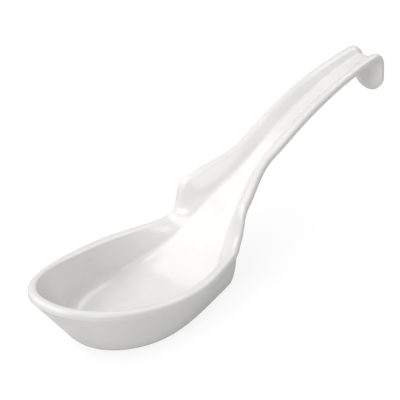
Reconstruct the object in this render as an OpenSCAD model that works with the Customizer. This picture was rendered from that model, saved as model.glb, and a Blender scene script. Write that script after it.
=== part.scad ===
// Chinese soup spoon with a notched bowl, a gutter handle and a hooked end, moulded in one piece.
// Sizes are in millimetres. X runs from the bowl to the hook, Z is up, and the flat base lies on Z = 0.
// The origin is the bowl's centre, on the base. The valley line runs from there along the floor, up the ramp,
// over the handle and down the hook. Every section is drawn square to it, and places along it are measured
// from the bowl's centre. One rounded lip follows the whole edge.
// The moulding is divided at three planes square to the valley line: bowl, neck, handle and hook.

/* [Bowl] */
// Width of the bowl over its lip
bowl_w = 47; // [42:0.5:54]
// Length from the bowl's centre to the middle of the lip at the tip
bowl_front_l = 42.4; // [36:0.1:48]
// Height of the lip's middle over the floor, beside the bowl's centre
bowl_depth = 14.2; // [11:0.1:18]
// Slope at which the whole lip rises towards the tip, in degrees
lip_tilt = 5.7; // [2:0.1:9]
// Extra height that the lip sweeps up to at the tip
lip_sweep = 4.8; // [0:0.1:8]
// Roundness of the bowl's front: 2 is an ellipse, more is squarer
front_power = 2.07; // [2:0.01:2.8]

/* [Floor] */
// Thickness of the bowl's floor
floor_t = 3.2; // [2.4:0.1:4.5]
// Half width of the floor's flat, at the bowl's centre
floor_half_w = 15.4; // [12:0.1:16]
// Length of the floor's flat towards the tip
floor_front_l = 21; // [16:0.5:24]
// Radius of the corner between floor and wall, as a share of the largest that fits
corner_share = 0.45; // [0.2:0.01:0.8]
// Half width of the base's flat, at the bowl's centre
base_half_w = 14.2; // [12:0.1:16]
// Length of the base's flat towards the tip
base_front_l = 19.7; // [17:0.1:24]
// Radius of the corner under the bowl, as a share of the largest that fits
base_corner_share = 0.49; // [0.3:0.01:0.7]
// Place where the flat base ends in a heel
heel_at = 28; // [22:0.1:31]
// Thickness over which the heel is rounded
heel_soft = 2; // [1:0.1:4]
// Length over which the heel thins to the handle
heel_l = 33; // [26:0.5:40]

/* [Lip] */
// Width of the lip's rounded top, from its middle to the inside
lip_in = 1.8; // [1.3:0.1:2.2]
// Width of the lip's rounded top, from its middle to the outside
lip_out = 1.5; // [1.1:0.1:1.9]
// Height of the lip's rounded top
lip_h = 1.5; // [1.1:0.1:2]
// Height of the lip's rounding on the inside
lip_round_h = 0.8; // [0.5:0.05:1]
// Roundness of the lip's top: 2 is an ellipse, more is squarer
lip_power = 2.5; // [2:0.1:3.5]
// Height of the lip's upright outer face, below its rounded top
lip_face_h = 0.85; // [0.4:0.05:1.3]

/* [Valley line] */
// Straight run of the floor behind the bowl's centre
floor_back_l = 2.3; // [0.5:0.1:8]
// Radius of the ramp that climbs out of the bowl
ramp_r = 41.8; // [34:0.1:50]
// Angle through which the ramp climbs, in degrees
ramp_turn = 42.3; // [36:0.1:48]
// Straight run between the ramp and the handle
ramp_l = 3.7; // [2:0.1:12]
// Radius of the handle's arch
handle_r = 145.5; // [125:0.5:165]
// Angle through which the handle arches over, in degrees
handle_turn = 38; // [34:0.1:42]
// Radius of the hook
hook_r = 4.4; // [3.5:0.1:6]
// Angle through which the hook turns down, in degrees
hook_turn = 88; // [80:1:115]
// Straight run of the tongue before its round end
tongue_l = 5.3; // [2:0.1:7]

/* [Neck and handle] */
// Width over the lip that the bowl narrows to
neck_w = 31; // [27:0.1:34]
// Length over which the bowl narrows to the neck
neck_narrow_l = 38.9; // [35:0.1:44]
// Curve of that narrowing: 1 is straight, more keeps the bowl full for longer
neck_narrow_power = 2.24; // [1.6:0.02:2.8]
// Share of the narrowing that is rounded off where it ends at the neck
neck_soft_share = 0.04; // [0.02:0.01:0.2]
// Width of the handle over its lip
handle_w = 15.7; // [13:0.1:19]
// Place where the shoulders start to narrow to the handle
shoulder_narrow_at = 44.2; // [40:0.1:50]
// Length over which the shoulders narrow to the handle
shoulder_narrow_l = 27.3; // [20:0.1:32]
// Width of the tongue over its lip
tongue_w = 13.1; // [11:0.1:15]
// Place where the handle starts to taper to the tongue
taper_at = 81.5; // [76:0.5:96]
// Depth of the valley under the lip's inner edge, along the handle
gutter_depth = 1.8; // [1.4:0.1:3]
// Depth of the valley under the lip's inner edge, at the tongue
tongue_depth = 0.3; // [0.2:0.1:1]
// Thickness of the handle under its valley
handle_t = 2.6; // [2.2:0.1:3.2]
// Half width of the flat along the handle's valley
valley_half_w = 1.8; // [1:0.1:2.6]
// Half width of the flat under the handle
under_half_w = 1.8; // [1:0.1:3]
// Place where the flat base has run out into the handle's underside
under_from = 56; // [48:0.5:66]
// Place where the flat floor has run out into the valley
valley_from = 70; // [60:0.5:84]

/* [Notch] */
// Place of the notch's foot
notch_at = 38.2; // [35:0.1:41]
// Slope at which the edge climbs out of the notch, against the valley line, in degrees
notch_rise = 40.5; // [32:0.5:46]
// Height over which the notch's foot is rounded
notch_soft = 6.8; // [3:0.1:9]
// Height over which the shoulder's corner is rounded
shoulder_corner_soft = 2.8; // [1:0.1:5]
// Slope at which the shoulder's edge falls to the handle's edge, in degrees
shoulder_fall = 14; // [8:0.1:18]
// Place where the shoulder's edge would meet the handle's edge
shoulder_at = 72; // [66:0.5:78]
// Length over which that meeting is rounded
shoulder_soft = 10.5; // [6:0.5:20]

/* [Parting planes] */
// Place where the bowl ends and the neck starts
bowl_end = 30; // [26:0.5:33]
// Place where the neck ends and the handle starts
neck_end = 76; // [70:0.5:86]

/* [Facets] */
// Spacing of the sections along the bowl and neck
fine_step = 2.2; // [1.5:0.1:4]
// Spacing of the sections along the handle
long_step = 4; // [2:0.1:6]
// Spacing of the sections round the hook
hook_step = 1; // [0.5:0.1:2]

/* [Hidden] */

moulding_colour = "whitesmoke";

// Steps of half a section: round a corner, and over the inner and the outer half of the lip's top
corner_n = 5;
lip_in_n = 4;
lip_out_n = 3;
// Sections round the bowl's front and round the tongue's end, over a quarter turn
front_n = 17;
tongue_n = 8;

// Half widths of the lip's middle line
bowl_half = bowl_w / 2 - lip_out;
neck_half = neck_w / 2 - lip_out;
handle_half = handle_w / 2 - lip_out;
tongue_half = tongue_w / 2 - lip_out;

// Runs of the valley line: length, and the angle through which each bends
function arc_l(radius, angle) = radius * angle * PI / 180;
runs = [
    [floor_back_l, 0],
    [arc_l(ramp_r, ramp_turn), ramp_turn],
    [ramp_l, 0],
    [arc_l(handle_r, handle_turn), -handle_turn],
    [arc_l(hook_r, hook_turn), -hook_turn],
    [tongue_l, 0],
];
hook_at = runs[0][0] + runs[1][0] + runs[2][0] + runs[3][0];
valley_end = hook_at + runs[4][0] + runs[5][0];

// Pose [x, z, angle] after going d along a run that starts at a pose
function go(pose, run, d) =
    let (a = pose[2], b = a + run[1] * d / run[0], radius = run[1] == 0 ? 0 : run[0] * 180 / PI / run[1])
    run[1] == 0
        ? [pose[0] + d * cos(a), pose[1] + d * sin(a), a]
        : [pose[0] + radius * (sin(b) - sin(a)), pose[1] - radius * (cos(b) - cos(a)), b];

// Pose of the valley line at a place s along it
function valley(s, i = 0, pose = [0, floor_t, 0]) =
    s <= runs[i][0] || i == len(runs) - 1
        ? go(pose, runs[i], s)
        : valley(s - runs[i][0], i + 1, go(pose, runs[i], runs[i][0]));

// Change from 0 to 1 between two places, level at both ends
function glide(s, from, to) =
    let (t = max(0, min(1, (s - from) / (to - from))))
    t * t * (3 - 2 * t);

// The greater of u and zero, with the corner between them rounded over a width on both sides
function soft(u, width) = max(u, 0) + pow(max(width - abs(u), 0), 2) / (4 * width);

// Half width of the lip's middle line at a place
function lip_half(s) =
    bowl_half
    - (bowl_half - neck_half) * (1 - soft(1 - pow(s / neck_narrow_l, neck_narrow_power), neck_soft_share))
    - (neck_half - handle_half) * glide(s, shoulder_narrow_at, shoulder_narrow_at + shoulder_narrow_l)
    - (handle_half - tongue_half) * glide(s, taper_at, valley_end);

// Height of the bowl's lip over the floor, by its distance behind the bowl's centre
function bowl_lip(x) = bowl_depth - tan(lip_tilt) * x + lip_sweep * pow(x / bowl_front_l, 2);

// Height of the bowl's lip, measured square to the valley line
function bowl_lip_up(pose) =
    let (rough = (bowl_lip(pose[0]) + floor_t - pose[1]) / cos(pose[2]))
    (bowl_lip(pose[0] - rough * sin(pose[2])) + floor_t - pose[1]) / cos(pose[2]);

// Height of the lip's middle over the valley: the bowl's lip, the climb out of the notch, the shoulder's edge
function lip_up(s) =
    let (gutter = gutter_depth - (gutter_depth - tongue_depth) * glide(s, taper_at, valley_end))
    let (edge = gutter + tan(shoulder_fall) * soft(shoulder_at - s, shoulder_soft))
    let (climb = bowl_lip_up(valley(notch_at)) + tan(notch_rise) * (s - notch_at))
    let (back = climb - soft(climb - edge, shoulder_corner_soft))
    back + soft(bowl_lip_up(valley(min(s, shoulder_at))) - back, notch_soft);

// Depth of the flat base below the valley, measured square to it
function base_depth(s) = let (pose = valley(s)) pose[1] / cos(pose[2]);

// Thickness under the valley: down to the flat base, then round the heel and thinning to the handle
function thick(s) =
    let (thinned = handle_t + (base_depth(heel_at) - handle_t) * (1 - glide(s, heel_at, heel_at + heel_l)))
    thinned - soft(thinned - base_depth(min(s, heel_at + heel_l)), heel_soft);

// One side of a trough as points [across, up]: flat, then a round corner that a straight wall leaves
// towards its edge, which is wide across and high up
function trough(wide, high, flat, share) =
    let (radius = share * (pow(wide - flat, 2) + high * high) / (2 * high))
    let (far = norm([wide - flat, high - radius]))
    let (turn = atan2(high - radius, wide - flat) + asin(radius / far))
    concat(
        [[0, 0], [flat, 0]],
        [for (i = [1:corner_n])
            let (a = turn * i / corner_n)
            [flat + radius * sin(a), radius * (1 - cos(a))]]
    );

// Point of the lip's rounding on the inside: it leaves a wall that leans out by run over the rounding's height,
// at share 0, and ends level on the lip's top, at share 1
function lip_inside(half, up, run, share) =
    let (left = 1 - share)
    [
        half - lip_in * pow(left, 2) - 2 * share * left * (lip_in - run),
        up + lip_h - lip_round_h * pow(left, 2)
    ];

// Point of the lip's rounding on the outside: 90 degrees is its top, and 0 its outer edge
function lip_outside(half, up, angle) =
    [half + lip_out * pow(cos(angle), 2 / lip_power), up + lip_h * pow(sin(angle), 2 / lip_power)];

// Half a section, from the valley out, over the lip and back under to the middle
function half_section(half, up, t, flat, base_flat) =
    let (edge = half + lip_out, edge_up = up - lip_face_h)
    let (foot = [half - lip_in, up + lip_h - lip_round_h])
    let (inside = trough(foot[0], foot[1], flat, corner_share))
    let (wall = foot - inside[len(inside) - 1], run = lip_round_h * wall[0] / wall[1])
    let (under = trough(edge, edge_up + t, base_flat, base_corner_share))
    concat(
        inside,
        [for (i = [0:lip_in_n]) lip_inside(half, up, run, i / lip_in_n)],
        [for (i = [1:lip_out_n]) lip_outside(half, up, 90 - 90 * i / lip_out_n)],
        [[edge, edge_up]],
        [for (i = [len(under) - 1:-1:0]) under[i] - [0, t]]
    );

// A section point set on its pose, turned to lead along the valley line or to the side
function put(pose, point, lead, side) = [
    pose[0] + point[0] * lead * cos(pose[2]) - point[1] * sin(pose[2]),
    point[0] * side,
    pose[1] + point[0] * lead * sin(pose[2]) + point[1] * cos(pose[2]),
];

// Closed ring of both halves of a section
function ring(pose, half, lead, side) =
    let (last = len(half) - 1)
    concat(
        [for (v = [0:last]) put(pose, half[v], lead, side)],
        [for (v = [last - 1:-1:1]) put(pose, half[v], lead, -side)]
    );

// Half section at a place along the valley line
function half_at(s) =
    half_section(
        lip_half(s), lip_up(s), thick(s),
        floor_half_w + (valley_half_w - floor_half_w) * glide(s, 0, valley_from),
        base_half_w + (under_half_w - base_half_w) * glide(s, 0, under_from)
    );

// Rings along the valley line between two places
function rings_between(from, to, step) =
    let (n = round(abs(to - from) / step))
    [for (i = [0:n]) let (s = from + (to - from) * i / n) ring(valley(s), half_at(s), 0, 1)];

// Reach of a rounded front, in the direction [lead, side]
function reach(front_l, half_w, lead, side) =
    pow(pow(abs(lead) / front_l, front_power) + pow(side / half_w, front_power), -1 / front_power);

// Ring of the bowl's front, folded about the bowl's centre: 90 degrees is at the side, and 0 at the tip
function front_ring(angle) =
    let (x = -bowl_front_l * pow(cos(angle), 2 / front_power))
    let (y = bowl_half * pow(sin(angle), 2 / front_power))
    let (half = norm([x, y]), lead = x / half, side = y / half)
    ring(
        valley(0),
        half_section(
            half, bowl_lip(x), floor_t,
            reach(floor_front_l, floor_half_w, lead, side),
            reach(base_front_l, base_half_w, lead, side)
        ),
        lead, side
    );

// Ring of the tongue's round end, folded about the valley line's end
function tongue_ring(angle) = ring(valley(valley_end), half_at(valley_end), cos(angle), sin(angle));

// Solid through rings. Rings after fan_at are folded: they share the points on their fold, and the last one
// is folded flat on itself. An end that isn't folded is closed by a flat face.
module loft(rings, fan_at, outwards) {
    n = len(rings[0]);
    half = n / 2;
    last = len(rings) - 1;
    folded = fan_at < last;
    function at(j, v) =
        j > fan_at && v % half == 0 ? fan_at * n + v % n
        : folded && j == last && v > half ? j * n + n - v
        : j * n + v % n;
    skin = [
        for (j = [0:last - 1], v = [0:n - 1])
            let (a = at(j, v), b = at(j, v + 1), c = at(j + 1, v + 1), d = at(j + 1, v))
            each v < half ? [[a, b, c], [a, c, d]] : [[a, b, d], [b, c, d]]
    ];
    function face(j) = [
        for (i = [0:half / 2 - 1])
            let (a = at(j, i), b = at(j, i + 1), c = at(j, half - i - 1), d = at(j, half - i))
            let (e = at(j, n - i), f = at(j, n - i - 1), g = at(j, half + i + 1), h = at(j, half + i))
            each [[a, c, b], [a, d, c], [e, f, g], [e, g, h]]
    ];
    closing = [for (f = face(last)) [f[2], f[1], f[0]]];
    all = concat(skin, face(0), folded ? [] : closing);
    whole = [for (f = all) if (f[0] != f[1] && f[1] != f[2] && f[2] != f[0]) f];
    turned = [for (f = whole) outwards ? f : [f[2], f[1], f[0]]];
    polyhedron(points = [for (r = rings) each r], faces = turned);
}

module bowl() {
    back = rings_between(bowl_end, 0, fine_step);
    front = [for (i = [1:front_n]) front_ring(90 * (1 - i / front_n))];
    color(moulding_colour) loft(concat(back, front), len(back) - 1, false);
}

module neck() {
    rings = rings_between(bowl_end, neck_end, fine_step);
    color(moulding_colour) loft(rings, len(rings) - 1, true);
}

module handle() {
    rings = rings_between(neck_end, hook_at, long_step);
    color(moulding_colour) loft(rings, len(rings) - 1, true);
}

module hook() {
    bend = rings_between(hook_at, valley_end, hook_step);
    round_end = [for (i = [1:tongue_n]) tongue_ring(90 * (1 - i / tongue_n))];
    color(moulding_colour) loft(concat(bend, round_end), len(bend) - 1, true);
}

bowl();
neck();
handle();
hook();
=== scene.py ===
# %% [markdown]
# A hooked soup spoon, moulded in one shot in gloss white. The construction model is loaded first, as a
# fixed frame: its four regions, bowl, neck, handle and hook, give the places and the box that this scene
# keeps to. The scene works in metres in that same frame: X runs from the bowl to the hook, and Z is up.

# %% Load the frame
from math import cos, pi, radians, sin
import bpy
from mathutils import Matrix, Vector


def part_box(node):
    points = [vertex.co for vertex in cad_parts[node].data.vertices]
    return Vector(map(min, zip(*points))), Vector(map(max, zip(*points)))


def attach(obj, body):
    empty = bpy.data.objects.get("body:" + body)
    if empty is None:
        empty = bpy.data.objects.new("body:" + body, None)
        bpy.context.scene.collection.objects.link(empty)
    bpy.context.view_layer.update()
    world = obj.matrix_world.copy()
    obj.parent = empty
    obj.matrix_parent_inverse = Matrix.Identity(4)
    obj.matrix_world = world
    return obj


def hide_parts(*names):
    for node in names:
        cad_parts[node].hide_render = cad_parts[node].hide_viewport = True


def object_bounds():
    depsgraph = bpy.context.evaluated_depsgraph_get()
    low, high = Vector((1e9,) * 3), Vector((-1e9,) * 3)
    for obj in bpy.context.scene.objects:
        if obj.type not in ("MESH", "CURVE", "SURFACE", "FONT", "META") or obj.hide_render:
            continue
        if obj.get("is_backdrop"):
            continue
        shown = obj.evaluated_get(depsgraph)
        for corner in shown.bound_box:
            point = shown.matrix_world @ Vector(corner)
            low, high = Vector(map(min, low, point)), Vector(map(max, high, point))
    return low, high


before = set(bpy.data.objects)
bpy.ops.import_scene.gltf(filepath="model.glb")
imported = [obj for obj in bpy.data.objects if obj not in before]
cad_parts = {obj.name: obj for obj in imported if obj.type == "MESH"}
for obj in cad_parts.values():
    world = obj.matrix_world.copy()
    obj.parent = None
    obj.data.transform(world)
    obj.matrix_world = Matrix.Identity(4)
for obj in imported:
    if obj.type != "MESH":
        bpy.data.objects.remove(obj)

from types import SimpleNamespace

import bpy
from mathutils import Vector

MM = 0.001
cad_low, cad_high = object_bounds()
print("frame", sorted(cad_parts), "box in mm", [round(x / MM, 1) for x in cad_high - cad_low])

# %% [markdown]
# The photograph looks down on the bowl from its tip's side, through a long lens that hardly narrows what is
# further off. A camera could be placed by eye, but a direction, a distance and a point to aim at say the
# same thing in a few numbers, and the aim is measured from the middle of the frame's box.

# %% Camera
CAMERA_AZIMUTH = radians(-47.6)
CAMERA_ELEVATION = radians(31.7)
CAMERA_DISTANCE = 520 * MM
CAMERA_LENS = 133.6
AIM_FROM_MIDDLE = Vector((-4.7, 5.9, -1.8)) * MM


def direction(azimuth, elevation):
    """Unit vector towards a place seen at these angles: azimuth 0 is on the -Y side."""
    return Vector((sin(azimuth) * cos(elevation), -cos(azimuth) * cos(elevation), sin(elevation)))


scene = bpy.context.scene
aim = (cad_low + cad_high) / 2 + AIM_FROM_MIDDLE
towards_camera = direction(CAMERA_AZIMUTH, CAMERA_ELEVATION)
camera = bpy.data.objects.new("camera", bpy.data.cameras.new("camera"))
camera.data.lens = CAMERA_LENS
camera.location = aim + towards_camera * CAMERA_DISTANCE
camera.rotation_euler = towards_camera.to_track_quat("Z", "Y").to_euler()
scene.collection.objects.link(camera)
scene.camera = camera
print("camera at", [round(x / MM) for x in camera.location], "mm")

# %% [markdown]
# Both the shape and the finish are worked out by nodes. A long sum is hard to read as a web of Math nodes,
# so one small class wraps a socket: an expression on wires adds the Math nodes for it, and 1 - wire works
# as well as wire - 1. Every other node comes from one method, which sets the node's settings first and then
# its sockets.

# %% Wires, and the bench that they are laid on


class Wire:
    """An output socket to calculate with."""

    def __init__(self, bench, socket):
        self.bench = bench
        self.socket = socket

    def math(self, operation, *terms):
        return self.bench.node("ShaderNodeMath", {"operation": operation}, dict(enumerate(terms)))

    def __add__(self, other):
        return self.math("ADD", self, other)

    def __sub__(self, other):
        return self.math("SUBTRACT", self, other)

    def __rsub__(self, other):
        return self.math("SUBTRACT", other, self)

    def __mul__(self, other):
        return self.math("MULTIPLY", self, other)

    def __truediv__(self, other):
        return self.math("DIVIDE", self, other)

    def __rtruediv__(self, other):
        return self.math("DIVIDE", other, self)

    def __pow__(self, other):
        return self.math("POWER", self, other)

    def __abs__(self):
        return self.math("ABSOLUTE", self)

    def __neg__(self):
        return 0 - self

    def __lt__(self, other):
        return self.math("LESS_THAN", self, other)

    def __gt__(self, other):
        return self.math("GREATER_THAN", self, other)

    __radd__ = __add__
    __rmul__ = __mul__

    def at_least(self, other):
        return self.math("MAXIMUM", self, other)

    def at_most(self, other):
        return self.math("MINIMUM", self, other)

    def between(self, low, high):
        return self.at_least(low).at_most(high)

    def out(self, name):
        """Another output of the same node."""
        return Wire(self.bench, find_socket(self.socket.node.outputs, name))


class Bench:
    """A node tree to work in."""

    def __init__(self, tree):
        self.tree = tree

    def node(self, kind, settings=None, sockets=None, out=0):
        """Adds a node: its settings, then the values or links of its sockets. Gives one of its outputs."""
        made = self.tree.nodes.new(kind)
        for name, value in (settings or {}).items():
            setattr(made, name, value)
        for key, given in (sockets or {}).items():
            socket = find_socket(made.inputs, key)
            for value in given if isinstance(given, list) else [given]:
                if isinstance(value, Wire):
                    self.tree.links.new(value.socket, socket)
                else:
                    socket.default_value = value
        return Wire(self, find_socket(made.outputs, out)) if made.outputs else None


def find_socket(sockets, key):
    """A socket by its number, its identifier or its name."""
    if isinstance(key, int):
        return sockets[key]
    return next(socket for socket in sockets if key in (socket.identifier, socket.name))


def sine(value):
    return value.math("SINE", value) if isinstance(value, Wire) else sin(value)


def cosine(value):
    return value.math("COSINE", value) if isinstance(value, Wire) else cos(value)


def tangent(value):
    return value.math("TANGENT", value)


def root(value):
    return value.math("SQRT", value)


print("wires ready")

# %% [markdown]
# A mould maker draws this spoon from a few sizes: the bowl, its floor, the rounded lip, the line along the
# bottom of the valley, the widths of neck and handle, and the notch. They are the named inputs of the node
# tree, so a wider bowl or a longer handle is one number. Lengths are written in millimetres here, and
# angles in degrees.

# %% Sizes of the spoon
LENGTHS = dict(
    bowl_w=47, bowl_front_l=42.4, bowl_depth=14.2, lip_sweep=4.8,
    floor_t=3.2, floor_half_w=15.4, floor_front_l=21,
    base_half_w=14.2, base_front_l=19.7, heel_at=28, heel_soft=2, heel_l=33,
    lip_in=1.8, lip_out=1.5, lip_h=1.5, lip_round_h=0.8, lip_face_h=0.85,
    floor_back_l=2.3, ramp_r=41.8, ramp_l=3.7, handle_r=145.5, hook_r=4.4, tongue_l=5.3,
    neck_w=31, neck_narrow_l=38.9, handle_w=15.7, shoulder_narrow_at=44.2, shoulder_narrow_l=27.3,
    tongue_w=13.1, taper_at=81.5, gutter_depth=1.8, tongue_depth=0.3, handle_t=2.6,
    valley_half_w=1.8, valley_from=70, under_half_w=1.8, under_from=56,
    notch_at=38.2, notch_soft=6.8, shoulder_corner_soft=2.8, shoulder_at=72, shoulder_soft=10.5,
)
ANGLES = dict(lip_tilt=5.7, ramp_turn=42.3, handle_turn=38, hook_turn=88, notch_rise=40.5, shoulder_fall=14)
PLAIN = dict(
    front_power=2.07, lip_power=2.5, neck_narrow_power=2.24,
    corner_share=0.45, base_corner_share=0.49, neck_soft_share=0.04,
)
SIZES = {name: length * MM for name, length in LENGTHS.items()}
SIZES.update({name: radians(angle) for name, angle in ANGLES.items()})
SIZES.update(PLAIN)
print(len(SIZES), "sizes")

# %% [markdown]
# The backbone is the valley line: along the floor, up the ramp, over the handle and down the hook. It could
# be a curve object, but straight runs and arcs have exact formulas, and a place on it then needs no lookup.
# Each run adds the part of its length that has been gone so far, so one sum gives the pose at any place.

# %% Valley line


def valley_runs(size):
    """Length of each run, and the radius it bends with: up is positive, and a straight run has none."""
    return (
        (size.floor_back_l, None),
        (size.ramp_r * size.ramp_turn, size.ramp_r),
        (size.ramp_l, None),
        (size.handle_r * size.handle_turn, -size.handle_r),
        (size.hook_r * size.hook_turn, -size.hook_r),
        (size.tongue_l, None),
    )


def valley(size, place):
    """Pose of the valley line at a place along it: x, z and the angle at which it climbs."""
    x, z, angle = 0, size.floor_t, 0
    start, heading = 0, 0
    for length, bend in valley_runs(size):
        gone = (place - start).between(0, length)
        if bend is None:
            x = x + gone * cosine(heading)
            z = z + gone * sine(heading)
        else:
            turned = heading + gone / bend
            x = x + bend * (sine(turned) - sine(heading))
            z = z + bend * (cosine(heading) - cosine(turned))
            angle = angle + gone / bend
            heading = heading + length / bend
        start = start + length
    return SimpleNamespace(x=x, z=z, angle=angle)


plain = SimpleNamespace(**SIZES)
HOOK_AT = sum(length for length, bend in valley_runs(plain)[:4])
VALLEY_END = sum(length for length, bend in valley_runs(plain))
print("valley line", round(VALLEY_END / MM, 1), "mm long; the hook starts at", round(HOOK_AT / MM, 1))

# %% [markdown]
# Two laws follow the valley line: how far out the lip runs, and how high it stands. The bowl's lip is
# tilted and sweeps up to the tip. Beside the neck it steps up to the shoulder, which is the notch that
# rests on a bowl's rim, and then falls to the low edge of the gutter handle. Smooth steps are enough for
# all of it.

# %% Width and height of the lip


def glide(place, start, end):
    """Change from 0 to 1 between two places, level at both ends."""
    share = ((place - start) / (end - start)).between(0, 1)
    return share * share * (3 - 2 * share)


def soft(value, width):
    """The greater of a value and zero, with the corner between them rounded over a width on both sides."""
    left = (width - abs(value)).at_least(0)
    return value.at_least(0) + left * left / (4 * width)


def lip_half(size, place, end):
    """Half width of the lip's middle line."""
    narrow_end = size.shoulder_narrow_at + size.shoulder_narrow_l
    full = 1 - (place / size.neck_narrow_l) ** size.neck_narrow_power
    to_neck = (size.bowl_w - size.neck_w) / 2 * (1 - soft(full, size.neck_soft_share))
    to_handle = (size.neck_w - size.handle_w) / 2 * glide(place, size.shoulder_narrow_at, narrow_end)
    to_tongue = (size.handle_w - size.tongue_w) / 2 * glide(place, size.taper_at, end)
    return size.bowl_w / 2 - size.lip_out - to_neck - to_handle - to_tongue


def bowl_lip(size, x):
    """Height of the bowl's lip over its floor, by the distance behind the bowl's centre."""
    swept = x / size.bowl_front_l
    return size.bowl_depth - tangent(size.lip_tilt) * x + size.lip_sweep * swept * swept


def bowl_lip_up(size, place):
    """The same height, measured square to the valley line at a place."""
    pose = valley(size, place)
    rough = (bowl_lip(size, pose.x) + size.floor_t - pose.z) / cosine(pose.angle)
    return (bowl_lip(size, pose.x - rough * sine(pose.angle)) + size.floor_t - pose.z) / cosine(pose.angle)


def lip_up(size, place, end):
    """Height of the lip's middle: the bowl's lip, the climb out of the notch, the shoulder's edge."""
    gutter = size.gutter_depth - (size.gutter_depth - size.tongue_depth) * glide(place, size.taper_at, end)
    edge = gutter + tangent(size.shoulder_fall) * soft(size.shoulder_at - place, size.shoulder_soft)
    climb = bowl_lip_up(size, size.notch_at) + tangent(size.notch_rise) * (place - size.notch_at)
    back = climb - soft(climb - edge, size.shoulder_corner_soft)
    return back + soft(bowl_lip_up(size, place.at_most(size.shoulder_at)) - back, size.notch_soft)


print("lip: bowl", LENGTHS["bowl_w"], "neck", LENGTHS["neck_w"], "handle", LENGTHS["handle_w"], "mm wide")

# %% [markdown]
# Square to the valley line, every section has the same build: a trough with a flat floor, a round corner
# and a straight wall, then the lip and its upright outer face, and a second trough underneath, one wall
# thickness away. The lip's inner side is a curve that leaves the wall without a crease, because gloss shows
# every crease as a dark line. Half a section is enough, because the other half is its mirror image. A
# trough is a sum of runs again: each adds what has been gone of it so far.

# %% Half a section
FLOOR_N, CORNER_N, WALL_N = 10, 18, 16
TOP_N, FACE_N = 20, 4
TROUGH_N = FLOOR_N + CORNER_N + WALL_N
HALF_N = 2 * TROUGH_N + TOP_N + FACE_N
CROWDING = 1.6


def trough(step, wide, high, flat, corner_share):
    """Across and up, at a step from the middle: flat, then a round corner, then a wall to [wide, high].
    Gives the wall's angle too. The corner's radius is a share of the largest that fits."""
    room = wide - flat
    radius = corner_share * (room * room + high * high) / (2 * high)
    above = high - radius
    reach = root(room * room + above * above)
    turn = above.math("ARCTAN2", above, room) + above.math("ARCSINE", radius / reach)
    floor_gone = (step / FLOOR_N).between(0, 1)
    turned = turn * ((step - FLOOR_N) / CORNER_N).between(0, 1)
    wall_gone = 1 - (1 - ((step - FLOOR_N - CORNER_N) / WALL_N).between(0, 1)) ** CROWDING
    across = flat * floor_gone + radius * sine(turned) + (room - radius * sine(turn)) * wall_gone
    up = radius * (1 - cosine(turned)) + (above + radius * cosine(turn)) * wall_gone
    return across, up, turn


def lip(size, step, half, up, wall_turn):
    """Across and up, at a step over the lip: a rounding that leaves the wall without a break, then the top
    and the outer edge, then down the outer face."""
    risen = (2 * step / TOP_N).between(0, 1)
    left = 1 - risen
    run = size.lip_round_h / tangent(wall_turn)
    angle = (2 - 2 * step / TOP_N).between(0, 1) * (pi / 2)
    squareness = 2 / size.lip_power
    inwards = size.lip_in * left * left + 2 * risen * left * (size.lip_in - run)
    outwards = size.lip_out * abs(cosine(angle)) ** squareness
    raised = size.lip_h * abs(sine(angle)) ** squareness - size.lip_round_h * left * left
    gone_down = size.lip_face_h * ((step - TOP_N) / FACE_N).between(0, 1)
    return half - inwards + outwards, up + raised - gone_down


def half_section(size, step, law):
    """Across and up, at a step from the valley, 0, over the lip and back under to the middle, HALF_N."""
    edge_up = law.up - size.lip_face_h
    foot_up = law.up + size.lip_h - size.lip_round_h
    *inside, turn = trough(step, law.half - size.lip_in, foot_up, law.flat, size.corner_share)
    over = lip(size, step - TROUGH_N, law.half, law.up, turn)
    back_step, edge = HALF_N - step, law.half + size.lip_out
    under = trough(back_step, edge, edge_up + law.thick, law.base_flat, size.base_corner_share)
    outside = under[0], under[1] - law.thick
    on_inside = step < TROUGH_N - 0.5
    on_outside = step > HALF_N - TROUGH_N + 0.5
    on_lip = 1 - on_inside - on_outside
    return [a * on_inside + b * on_lip + c * on_outside for a, b, c in zip(inside, over, outside)]


print("half a section has", HALF_N, "steps")

# %% [markdown]
# Now the whole surface is one rule with three coordinates: the place along the spoon, the step across the
# half section, and the side. Below place 0 the section swings round the bowl's centre to the tip, whose
# outline is a superellipse, and past the end of the valley line it swings round the tongue's end in the
# same way.

# %% The rule of the surface
TIP_RUN = 60 * MM
TONGUE_RUN = 8 * MM


def front_reach(size, swing, ahead, aside):
    """Reach of a rounded front in the direction of a swing: aside at a quarter turn, ahead at none."""
    outline = (cosine(swing) / ahead) ** size.front_power + (sine(swing) / aside) ** size.front_power
    return outline ** (-1 / size.front_power)


def base_depth(size, place):
    """Depth of the flat base below the valley, measured square to it."""
    pose = valley(size, place)
    return pose.z / cosine(pose.angle)


def section_law(size, place, swing, end):
    """All that a half section needs to know at a place."""
    on_valley = place.between(0, end)
    bowl_half = size.bowl_w / 2 - size.lip_out
    reach = front_reach(size, swing, size.bowl_front_l, bowl_half)
    floor_reach = front_reach(size, swing, size.floor_front_l, size.floor_half_w)
    base_reach = front_reach(size, swing, size.base_front_l, size.base_half_w)
    heel_end = size.heel_at + size.heel_l
    left = 1 - glide(on_valley, size.heel_at, heel_end)
    thinned = size.handle_t + (base_depth(size, size.heel_at) - size.handle_t) * left
    return SimpleNamespace(
        half=reach - bowl_half + lip_half(size, on_valley, end),
        up=bowl_lip(size, -(reach * cosine(swing))) - size.bowl_depth + lip_up(size, on_valley, end),
        thick=thinned - soft(thinned - base_depth(size, on_valley.at_most(heel_end)), size.heel_soft),
        flat=floor_reach + (size.valley_half_w - floor_reach) * glide(on_valley, 0, size.valley_from),
        base_flat=base_reach + (size.under_half_w - base_reach) * glide(on_valley, 0, size.under_from),
    )


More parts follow.
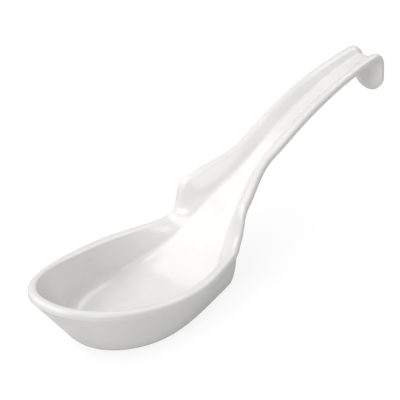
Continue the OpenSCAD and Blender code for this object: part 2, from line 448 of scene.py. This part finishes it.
def surface_point(size, place, step, side):
    """X, Y and Z of the spoon's surface."""
    end = sum(length for length, bend in valley_runs(size))
    swing = (1 + (place / TIP_RUN).between(-1, 0)) * (pi / 2)
    tongue_swing = (1 - ((place - end) / TONGUE_RUN).between(0, 1)) * (pi / 2)
    across, up = half_section(size, step, section_law(size, place, swing, end))
    pose = valley(size, place.between(0, end))
    lead = across * (cosine(tongue_swing) - cosine(swing))
    return {
        "X": pose.x + lead * cosine(pose.angle) - up * sine(pose.angle),
        "Y": across * sine(swing) * sine(tongue_swing) * side,
        "Z": pose.z + lead * sine(pose.angle) + up * cosine(pose.angle),
    }


print("the tip swings over", TIP_RUN / MM, "mm of place, and the tongue's end over", TONGUE_RUN / MM)

# %% [markdown]
# The finish is gloss white melamine, polished by its mould. A real one is not one flat white: the resin has
# hardly visible clouds, the gloss is a little duller where it has been rubbed, and fine hairlines catch the
# light. A grey ring is painted round the edge of the base that it stands on, partly as wear and partly as
# painted shade along the bowl's lower edge. All of it hangs on Object coordinates and on one attribute of
# the mesh, so it stays in place from any side.

# %% Gloss white moulding
WHITE = (0.80, 0.794, 0.782, 1)
CLOUD = (0.755, 0.75, 0.74, 1)
# Grey for the hairlines, and for the foot ring, which is partly wear and partly painted shade.
WEAR_AND_SHADE_GREY = (0.27, 0.265, 0.256, 1)
GLOSS, CLOUD_DULL, WORN_DULL, LINE_DULL = 0.1, 0.05, 0.10, 0.06
CLOUD_SCALE, SPECK_SCALE, PATCH_SCALE = 38.0, 240.0, 70.0
CLOUD_SHARE, CLOUD_FROM, CLOUD_SOFT = 0.7, 0.35, 0.3
PATCH_FROM, PATCH_SOFT = 0.4, 0.25
HAIRLINE_SCALES, HAIRLINE_TURNS = (40, 2600, 900), (0.2, -0.5)
HAIRLINE_FROM, HAIRLINE_SOFT, HAIRLINE_GREY = 0.68, 0.05, 0.04
FOOT_H, FOOT_EDGE_H, FOOT_FADE = 3.2 * MM, 0.4 * MM, 1.3
BASE_WEAR_AND_SHADE_SHARE, LIP_WEAR_SHARE = 0.2, 0.5
PEEL_SCALE, PEEL_DEPTH, PEEL_STRENGTH, HAIRLINE_CUT = 160.0, 0.004 * MM, 0.5, 0.25


def noise(bench, spot, scale, detail):
    return bench.node("ShaderNodeTexNoise", {}, {"Vector": spot, "Scale": scale, "Detail": detail}, "Fac")


def rise(value, start, width):
    """Change from 0 to 1 that starts at a value and takes a width."""
    return ((value - start) / width).between(0, 1)


def blend(bench, share, first, second):
    mix = {"Factor_Float": share, "A_Color": first, "B_Color": second}
    return bench.node("ShaderNodeMix", {"data_type": "RGBA"}, mix, "Result_Color")


def hairlines(bench, spot, turn):
    """Thin lines at a turn about Z: noise that is stretched a long way, and cut off high."""
    placed = {"Vector": spot, "Rotation": (0, 0, turn), "Scale": HAIRLINE_SCALES}
    stretched = bench.node("ShaderNodeMapping", {}, placed)
    return rise(noise(bench, stretched, 1.0, 1.0), HAIRLINE_FROM, HAIRLINE_SOFT)


def gloss_white():
    material = bpy.data.materials.new("gloss_white")
    material.use_nodes = True
    material.node_tree.nodes.clear()
    bench = Bench(material.node_tree)
    spot = bench.node("ShaderNodeTexCoord", {}, {}, "Object")
    height = bench.node("ShaderNodeSeparateXYZ", {}, {0: spot}).out("Z")
    lip_top = bench.node("ShaderNodeAttribute", {"attribute_name": "lip"}, {}, "Fac")

    fine = noise(bench, spot, SPECK_SCALE, 2.0) * (1 - CLOUD_SHARE)
    clouds = noise(bench, spot, CLOUD_SCALE, 3.0) * CLOUD_SHARE + fine
    patches = rise(noise(bench, spot, PATCH_SCALE, 2.0), PATCH_FROM, PATCH_SOFT)
    lines = sum(hairlines(bench, spot, turn) for turn in HAIRLINE_TURNS).at_most(1) * patches
    # The foot ring greys the lowest 3.2 mm of the bowl: partly wear, partly painted shade of its lower edge.
    off_base = BASE_WEAR_AND_SHADE_SHARE + (1 - BASE_WEAR_AND_SHADE_SHARE) * rise(height, 0, FOOT_EDGE_H)
    foot_wear_and_shade = off_base * (1 - rise(height, 0, FOOT_H)) ** FOOT_FADE
    worn = (lip_top * patches * LIP_WEAR_SHARE + foot_wear_and_shade * (0.4 + 0.6 * patches)).at_most(1)

    colour = blend(bench, rise(clouds, CLOUD_FROM, CLOUD_SOFT), WHITE, CLOUD)
    # Painted shade, partly wear: the foot ring and the hairlines blend the colour towards grey.
    colour = blend(bench, foot_wear_and_shade * (0.6 + 0.3 * patches) + lines * HAIRLINE_GREY, colour, WEAR_AND_SHADE_GREY)
    peel = noise(bench, spot, PEEL_SCALE, 1.0) - HAIRLINE_CUT * lines
    dents = {"Strength": PEEL_STRENGTH, "Distance": PEEL_DEPTH, "Height": peel}
    shader = bench.node("ShaderNodeBsdfPrincipled", {}, {
        "Base Color": colour,
        "Roughness": GLOSS + CLOUD_DULL * clouds + WORN_DULL * worn + LINE_DULL * lines,
        "IOR": 1.5,
        "Normal": bench.node("ShaderNodeBump", {}, dents),
    })
    bench.node("ShaderNodeOutputMaterial", {}, {"Surface": shader})
    return material


moulding_finish = gloss_white()
print("finish", moulding_finish.name)

# %% [markdown]
# A Geometry Nodes tree turns the rule into a mesh. A flat grid is laid out first, and each of its points
# carries its three coordinates as attributes. Two small grids carry the coordinates of the faces where a
# region is parted from its neighbours. One Set Position bends each sheet to the rule. The skin starts one
# ring early and ends one ring late, keeps the normals that it has then, and only then loses the spare
# rings: so the shading of two neighbours agrees where they meet, and the four regions read as one moulding.

# %% Sheets that carry their places
WELD = 0.002 * MM


def sheet(bench, columns, rows, place, step):
    """A flat grid whose points carry place, step and side. Place and step are worked out from the shares
    of the way along and across the grid; the side changes halfway across."""
    counts = {"Size X": 1.0, "Size Y": 1.0, "Vertices X": columns, "Vertices Y": rows}
    grid = bench.node("GeometryNodeMeshGrid", {}, counts)
    spot = bench.node("ShaderNodeSeparateXYZ", {}, {0: bench.node("GeometryNodeInputPosition")})
    along, across = spot.out("X") + 0.5, spot.out("Y") + 0.5
    carried = {"place": place(along), "step": step(along, across), "side": 1 - 2 * (across > 0.5)}
    for name, value in carried.items():
        grid = keep(bench, grid, name, value)
    return grid


def keep(bench, mesh, name, value, data_type="FLOAT", domain="POINT"):
    """Stores a value on the mesh under a name."""
    settings = {"data_type": data_type, "domain": domain}
    stored = {"Geometry": mesh, "Name": name, "Value": value}
    return bench.node("GeometryNodeStoreNamedAttribute", settings, stored)


def kept(bench, name, data_type="FLOAT"):
    return bench.node("GeometryNodeInputNamedAttribute", {"data_type": data_type}, {"Name": name})


def skin_step(along, across):
    return HALF_N * (1 - abs(2 * across - 1))


def lip_share(step):
    """1 on the crown of the lip, falling to 0 at the foot of its rounded top."""
    return (1 - abs(step - (TROUGH_N + TOP_N / 2)) / (TOP_N / 2)).at_least(0)


def face_step(along, across):
    out = abs(2 * across - 1)
    return HALF_N * (out / 2 + along * (1 - out))


print("a ring of the skin has", 2 * HALF_N, "points")

# %% Node tree of the moulding
REGION_INPUTS = {
    "from_place": "NodeSocketFloat", "to_place": "NodeSocketFloat", "rings": "NodeSocketInt",
    "face_at_start": "NodeSocketBool", "face_at_end": "NodeSocketBool",
}


def moulding_tree(material):
    tree = bpy.data.node_groups.new("spoon_moulding", "GeometryNodeTree")
    tree.is_modifier = True
    tree.interface.new_socket("Mesh", in_out="OUTPUT", socket_type="NodeSocketGeometry")
    for name, kind in {**dict.fromkeys(SIZES, "NodeSocketFloat"), **REGION_INPUTS}.items():
        tree.interface.new_socket(name, in_out="INPUT", socket_type=kind)
    bench = Bench(tree)
    given = bench.node("NodeGroupInput")
    size = SimpleNamespace(**{name: given.out(name) for name in SIZES})
    region = SimpleNamespace(**{name: given.out(name) for name in REGION_INPUTS})
    point = surface_point(size, kept(bench, "place"), kept(bench, "step"), kept(bench, "side"))
    position = bench.node("ShaderNodeCombineXYZ", {}, point)

    def bend(flat):
        bent = bench.node("GeometryNodeSetPosition", {}, {"Geometry": flat, "Position": position})
        return weld(bent)

    def weld(mesh):
        return bench.node("GeometryNodeMergeByDistance", {}, {"Geometry": mesh, "Distance": WELD})

    ring_l = (region.to_place - region.from_place) / region.rings
    last = sum(length for length, bend_r in valley_runs(size)) + TONGUE_RUN

    def skin_place(along):
        return (region.from_place + ring_l * ((region.rings + 2) * along - 1)).between(-TIP_RUN, last)

    normal = bench.node("GeometryNodeInputNormal")
    skin = bend(sheet(bench, region.rings + 3, 2 * HALF_N + 1, skin_place, skin_step))
    skin = keep(bench, skin, "facing", normal, "FLOAT_VECTOR")
    too_early = kept(bench, "place") < region.from_place - ring_l / 4
    too_late = kept(bench, "place") > region.to_place + ring_l / 4
    spare = {"Geometry": skin, "Selection": too_early + too_late}
    skin = bench.node("GeometryNodeDeleteGeometry", {}, spare)

    start = bend(sheet(bench, 2, HALF_N + 1, lambda along: region.from_place, face_step))
    end = bend(sheet(bench, 2, HALF_N + 1, lambda along: region.to_place, face_step))
    end = bench.node("GeometryNodeFlipFaces", {}, {"Mesh": end})
    faces = [
        bench.node("GeometryNodeSwitch", {"input_type": "GEOMETRY"}, {"Switch": wanted, "True": face})
        for wanted, face in ((region.face_at_start, start), (region.face_at_end, end))
    ]
    faces = bench.node("GeometryNodeJoinGeometry", {}, {0: faces})
    faces = keep(bench, faces, "parted", 1.0, domain="FACE")
    whole = weld(bench.node("GeometryNodeJoinGeometry", {}, {0: [skin, faces]}))
    facing = bench.node("ShaderNodeMix", {"data_type": "VECTOR"}, {
        "Factor_Float": kept(bench, "parted"),
        "A_Vector": kept(bench, "facing", "FLOAT_VECTOR"),
        "B_Vector": normal.out("True Normal"),
    }, "Result_Vector")
    facing = bench.node("ShaderNodeVectorMath", {"operation": "NORMALIZE"}, {0: facing})
    shaded = {"Mesh": whole, "Custom Normal": facing}
    whole = bench.node("GeometryNodeSetMeshNormal", {"mode": "FREE", "domain": "CORNER"}, shaded)
    whole = keep(bench, whole, "lip", lip_share(kept(bench, "step")))
    for name in ("place", "step", "side", "facing", "parted"):
        whole = bench.node("GeometryNodeRemoveAttribute", {}, {"Geometry": whole, "Name": name})
    whole = bench.node("GeometryNodeRealizeInstances", {}, {"Geometry": whole})
    whole = bench.node("GeometryNodeSetMaterial", {}, {"Geometry": whole, "Material": material})
    bench.node("NodeGroupOutput", {}, {"Mesh": whole})
    return tree


tree = moulding_tree(moulding_finish)
print("the tree has", len(tree.nodes), "nodes")

# %% [markdown]
# The spoon comes out of the mould in one piece, and the frame parts it at three planes square to the valley
# line. The same tree makes each region, with its own first and last place and its own number of rings, so
# that the four pieces stand for the four regions of the frame one by one.

# %% Four regions of one moulding
BOWL_END = 30 * MM
NECK_END = 76 * MM
HOOK_END = VALLEY_END + TONGUE_RUN
REGIONS = {
    "bowl": dict(from_place=-TIP_RUN, to_place=BOWL_END, rings=130, face_at_start=False, face_at_end=True),
    "neck": dict(from_place=BOWL_END, to_place=NECK_END, rings=80, face_at_start=True, face_at_end=True),
    "handle": dict(from_place=NECK_END, to_place=HOOK_AT, rings=60, face_at_start=True, face_at_end=True),
    "hook": dict(from_place=HOOK_AT, to_place=HOOK_END, rings=70, face_at_start=True, face_at_end=False),
}


def moulded(name, tree, values):
    """A mesh object made by the tree with these inputs, as a plain mesh."""
    piece = bpy.data.objects.new(name, bpy.data.meshes.new(name))
    scene.collection.objects.link(piece)
    modifier = piece.modifiers.new("moulding", "NODES")
    modifier.node_group = tree
    for socket in tree.interface.items_tree:
        if socket.in_out == "INPUT":
            modifier[socket.identifier] = values[socket.name]
    evaluated = piece.evaluated_get(bpy.context.evaluated_depsgraph_get())
    mesh = bpy.data.meshes.new_from_object(evaluated)
    piece.modifiers.clear()
    piece.data = mesh
    mesh.name = name
    return piece


for region, inputs in REGIONS.items():
    piece = moulded(region + "_moulding", tree, {**SIZES, **inputs})
    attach(piece, "root")
    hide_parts(region)
    low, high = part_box(region)
    corners = [Vector(corner) for corner in piece.bound_box]
    off = max(
        max(abs(min(c[axis] for c in corners) - low[axis]), abs(max(c[axis] for c in corners) - high[axis]))
        for axis in range(3)
    )
    print(piece.name, len(piece.data.polygons), "faces, box within", round(off / MM, 3), "mm of the frame's")

# %% [markdown]
# The spoon stands on a plain sweep that photographs as pure white. Light Path tells a ray that the camera
# sends from one that carries light: the first sees mostly a white glow, and the second sees only the
# sheet's own pale grey, so the background is white without lighting the spoon from below. A mirrored ray
# sees a little of the glow. What is left of the sheet keeps the shadow. It lies a hair below the base,
# because two faces in one plane flicker.

# %% Floor and backdrop
FLOOR_HALF = 2.0
FLOOR_COLOUR = (0.62, 0.62, 0.62, 1)
GLOW_SHARE = 0.7
MIRRORED_SHARE = 0.2
GLOW = 1.21
FILL = 0.02
FLOOR_GAP = 0.05 * MM


def seen_ray(bench, mirrored):
    """1 for a ray of the camera or a refraction, a share for a mirrored one, 0 for one of light."""
    path = bench.node("ShaderNodeLightPath")
    seen = path.out("Is Camera Ray").at_least(path.out("Is Transmission Ray"))
    return seen.at_least(path.out("Is Glossy Ray") * mirrored)


def sweep_material():
    material = bpy.data.materials.new("white_sweep")
    material.use_nodes = True
    material.node_tree.nodes.clear()
    bench = Bench(material.node_tree)
    sheet_colour = bench.node("ShaderNodeBsdfDiffuse", {}, {"Color": FLOOR_COLOUR})
    glow = bench.node("ShaderNodeEmission", {}, {"Color": (1, 1, 1, 1), "Strength": GLOW})
    glowing = seen_ray(bench, MIRRORED_SHARE / GLOW_SHARE) * GLOW_SHARE
    mixed = bench.node("ShaderNodeMixShader", {}, {0: glowing, 1: sheet_colour, 2: glow})
    below = bench.node("ShaderNodeNewGeometry", {}, {}, "Backfacing")
    clear = bench.node("ShaderNodeBsdfTransparent", {}, {"Color": (1, 1, 1, 1)})
    mixed = bench.node("ShaderNodeMixShader", {}, {0: below, 1: mixed, 2: clear})
    bench.node("ShaderNodeOutputMaterial", {}, {"Surface": mixed})
    return material


floor_z = cad_low.z - FLOOR_GAP
corners = [(x * FLOOR_HALF, y * FLOOR_HALF, floor_z) for x, y in ((-1, -1), (1, -1), (1, 1), (-1, 1))]
floor_mesh = bpy.data.meshes.new("floor")
floor_mesh.from_pydata(corners, [], [(0, 1, 2, 3)])
floor = bpy.data.objects.new("floor", floor_mesh)
floor.data.materials.append(sweep_material())
scene.collection.objects.link(floor)
floor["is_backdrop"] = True

world = bpy.data.worlds.new("studio")
scene.world = world
world.use_nodes = True
world.node_tree.nodes.clear()
bench = Bench(world.node_tree)
dim = bench.node("ShaderNodeBackground", {}, {"Color": (1, 1, 1, 1), "Strength": FILL})
white = bench.node("ShaderNodeBackground", {}, {"Color": (1, 1, 1, 1), "Strength": 1.0})
mixed = bench.node("ShaderNodeMixShader", {}, {0: seen_ray(bench, 1), 1: dim, 2: white})
bench.node("ShaderNodeOutputWorld", {}, {"Surface": mixed})
print("floor", 2 * FLOOR_HALF, "m across; fill", FILL)

# %% [markdown]
# A white thing on white is drawn by its shading alone, so no side may go black and none may burn out. The
# main softbox hangs beyond the tip and fills the ramp. A low one in front and a card on the right light the
# outside of the bowl, and two at the back draw the lip and the handle. Most are wide, because gloss mirrors
# its lamps, and the edge of a wide one falls outside the spoon.

# %% Lamps
LAMP_AT = 1.2
LAMPS = {
    "beyond_tip": dict(azimuth=-93, elevation=56, size=1.1, watts=11.2),
    "low_front": dict(azimuth=-74, elevation=12, size=0.44, watts=2.8),
    "right_card": dict(azimuth=-10, elevation=20, size=0.7, watts=3.5),
    "back_left": dict(azimuth=-157, elevation=42, size=0.8, watts=4.4),
    "back_right": dict(azimuth=87, elevation=45, size=0.8, watts=4.4),
}


def softbox(name, azimuth, elevation, size, watts):
    lamp = bpy.data.lights.new(name, "AREA")
    lamp.size = size
    lamp.energy = watts
    holder = bpy.data.objects.new(name, lamp)
    towards = direction(radians(azimuth), radians(elevation))
    holder.location = aim + towards * LAMP_AT
    holder.rotation_euler = towards.to_track_quat("Z", "Y").to_euler()
    scene.collection.objects.link(holder)


for name, values in LAMPS.items():
    softbox(name, **values)
scene.view_settings.view_transform = "Standard"
print(len(LAMPS), "lamps")

# %% [markdown]
# The dressed spoon is meant to keep the construction model's size, so its box is printed here, to be read
# beside the frame's box that was printed at the start.

# %% Size of the dressed spoon
low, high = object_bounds()
print("dressed box in mm", [round(x / MM, 2) for x in high - low])
